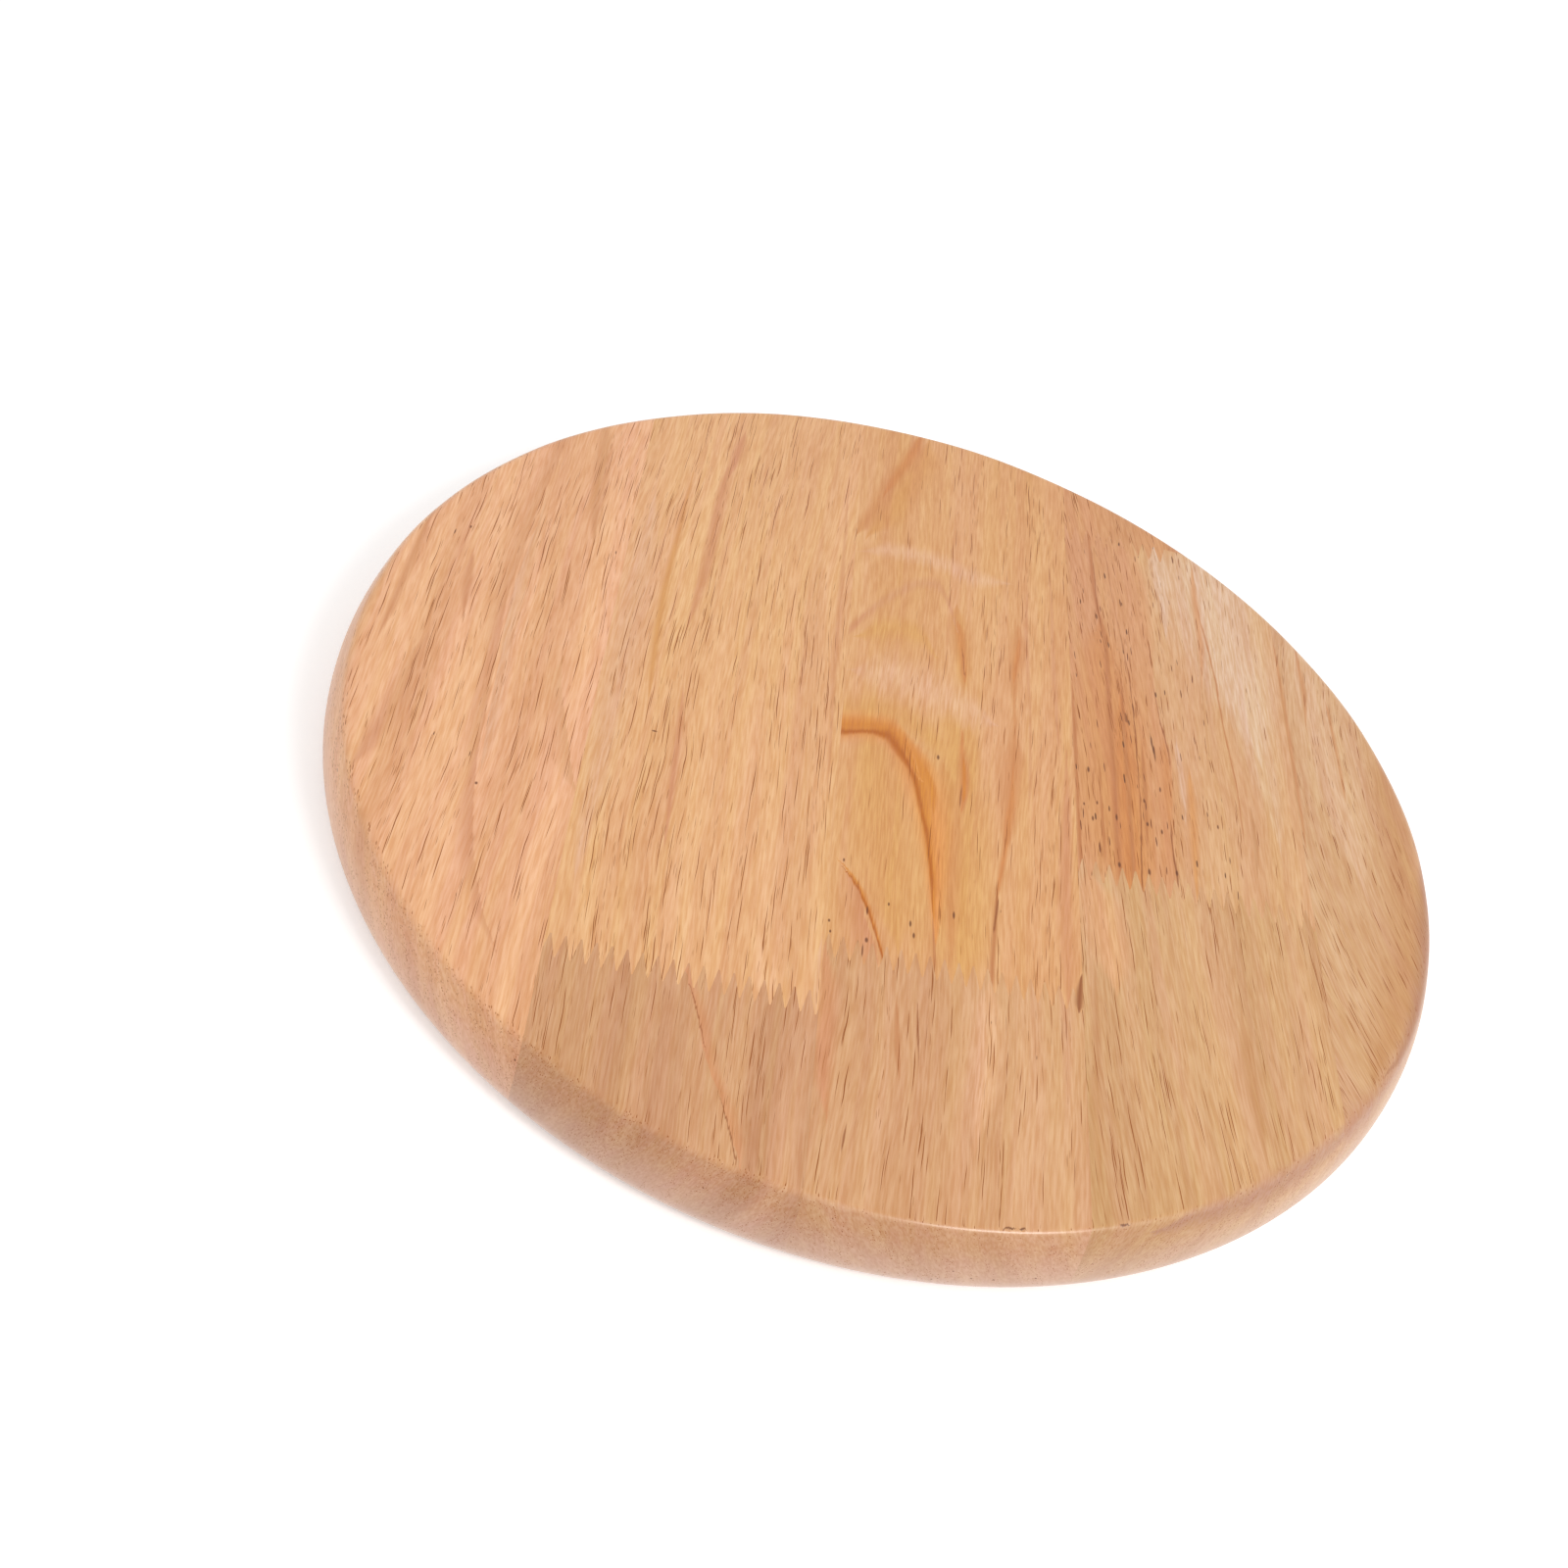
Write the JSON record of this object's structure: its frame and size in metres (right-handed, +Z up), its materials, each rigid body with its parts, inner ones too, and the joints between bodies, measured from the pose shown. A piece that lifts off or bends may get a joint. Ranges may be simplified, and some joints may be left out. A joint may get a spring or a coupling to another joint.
{
  "type": "round wooden serving board",
  "caption": "Flat round serving board of edge-glued, finger-jointed rubberwood blocks, with a crisp-edged flat top and a turned, rounded side.",
  "frame": {"origin": "centre of the flat underside, on the axis of the round outline", "axes": "+Z up, out of the flat top; +Y along the grain and the glue lines, away from the picture's viewer; +X across the strips, from strip_1 to strip_5"},
  "size_m": [0.25, 0.25, 0.018],
  "materials": {
    "strip_1": "satin oiled rubberwood",
    "strip_2_near": "satin oiled rubberwood",
    "strip_2_far": "satin oiled rubberwood",
    "strip_3_near": "satin oiled rubberwood",
    "strip_3_far": "satin oiled rubberwood",
    "strip_4_near": "satin oiled rubberwood",
    "strip_4_middle": "satin oiled rubberwood",
    "strip_4_far": "satin oiled rubberwood",
    "strip_5": "satin oiled rubberwood"
  },
  "bodies": {
    "root": {"strip_1": "strip_1", "strip_2_near": "strip_2_near", "strip_2_far": "strip_2_far", "strip_3_near": "strip_3_near", "strip_3_far": "strip_3_far", "strip_4_near": "strip_4_near", "strip_4_middle": "strip_4_middle", "strip_4_far": "strip_4_far", "strip_5": "strip_5"}
  },
  "joints": []
}
